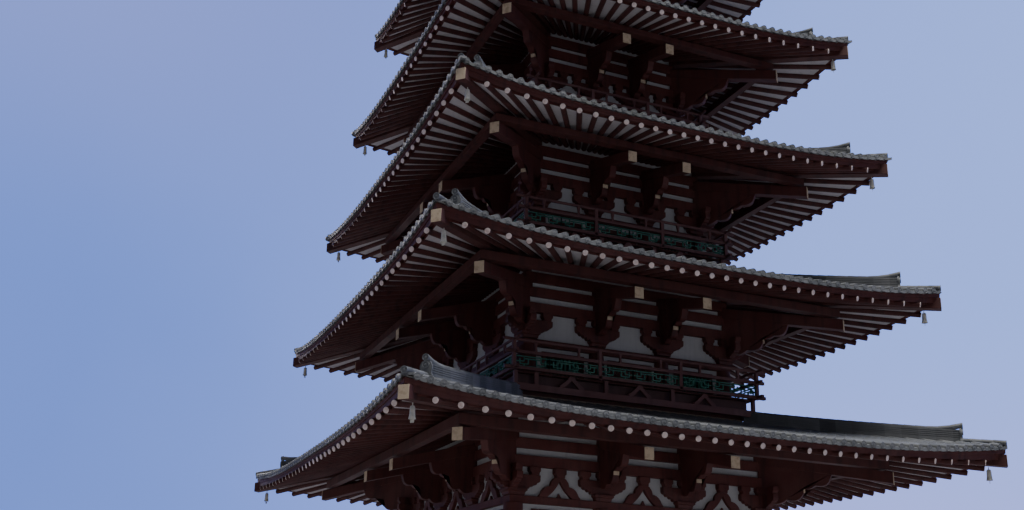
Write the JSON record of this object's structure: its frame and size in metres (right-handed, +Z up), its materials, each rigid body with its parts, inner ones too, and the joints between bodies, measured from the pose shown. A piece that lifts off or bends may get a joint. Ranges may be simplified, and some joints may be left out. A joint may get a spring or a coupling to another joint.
{
  "type": "five-storey pagoda",
  "caption": "Vermilion timber-style tower with tiled eaves, cloud brackets, railed balconies and a bronze ringed spire on a stone podium.",
  "frame": {"origin": "on the ground under the middle of the tower", "axes": "+Z up along the spire; the front looks along -Y; +X to the right of someone facing the front from outside"},
  "size_m": [16.931, 16.931, 39.2],
  "materials": {
    "stone": "dressed, matt",
    "plaster": "lime plaster, matt",
    "vermilion": "vermilion paint, weathered",
    "rafter_red": "vermilion paint, weathered",
    "roof_tile": "fired grey clay, matt",
    "boards": "bare planks",
    "bronze": "dark patinated bronze",
    "end_cap": "ochre paint, matt",
    "lattice_green": "green paint, weathered"
  },
  "bodies": {
    "root": {"podium": "stone", "south_steps": "stone", "south_wall": "plaster", "south_door": "vermilion", "east_steps": "stone", "east_wall": "plaster", "east_door": "vermilion", "north_steps": "stone", "north_wall": "plaster", "north_door": "vermilion", "west_steps": "stone", "west_wall": "plaster", "west_door": "vermilion", "ground_columns": "vermilion", "frame_1": "vermilion", "eaves_1": "rafter_red", "roof_1": "roof_tile", "floor_2": "boards", "walls_2": "plaster", "balcony_2": "vermilion", "frame_2": "vermilion", "eaves_2": "rafter_red", "roof_2": "roof_tile", "floor_3": "boards", "walls_3": "plaster", "balcony_3": "vermilion", "frame_3": "vermilion", "eaves_3": "rafter_red", "roof_3": "roof_tile", "floor_4": "boards", "walls_4": "plaster", "balcony_4": "vermilion", "frame_4": "vermilion", "eaves_4": "rafter_red", "roof_4": "roof_tile", "floor_5": "boards", "walls_5": "plaster", "balcony_5": "vermilion", "frame_5": "vermilion", "eaves_5": "rafter_red", "roof_5": "roof_tile", "dew_basin": "bronze", "inverted_bowl": "bronze", "ring_shaft": "bronze", "water_flame": "bronze", "jewels": "bronze"}
  },
  "joints": []
}
